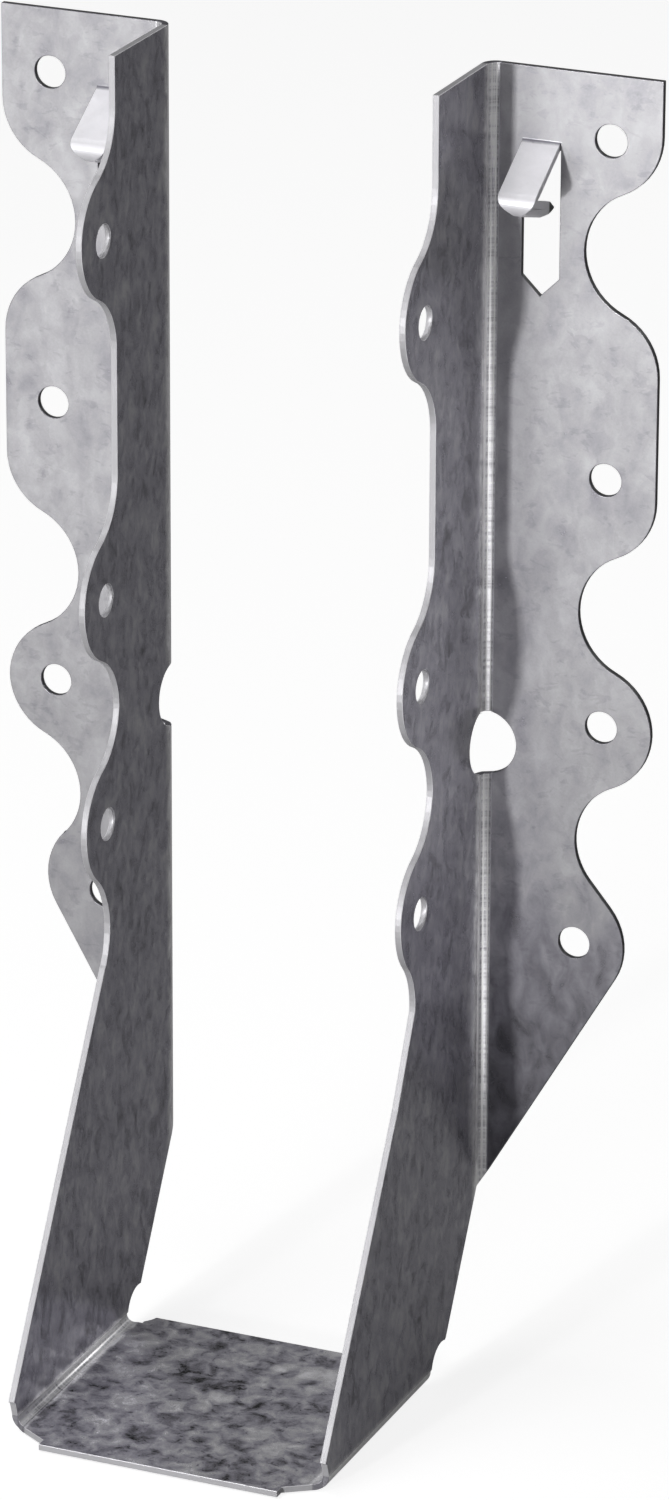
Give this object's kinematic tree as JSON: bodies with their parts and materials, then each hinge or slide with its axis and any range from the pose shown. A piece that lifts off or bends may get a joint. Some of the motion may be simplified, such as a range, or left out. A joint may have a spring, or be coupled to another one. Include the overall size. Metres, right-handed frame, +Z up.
{
  "type": "joist hanger",
  "caption": "Face-mount joist hanger folded from galvanised steel sheet: a U-shaped seat and side plates, scalloped nailing flanges and lanced hooked prongs.",
  "frame": {"origin": "on the header face, in the middle of the four upper header nail holes", "axes": "+X across the joist to the right as seen from the joist, +Y back into the header, +Z up; the joist lies along Y"},
  "size_m": [0.0838, 0.051, 0.1622],
  "materials": {
    "galvanised_steel": "hot-dip galvanised, soft mottled spangle"
  },
  "bodies": {
    "root": {"hanger": "galvanised_steel"}
  },
  "joints": []
}
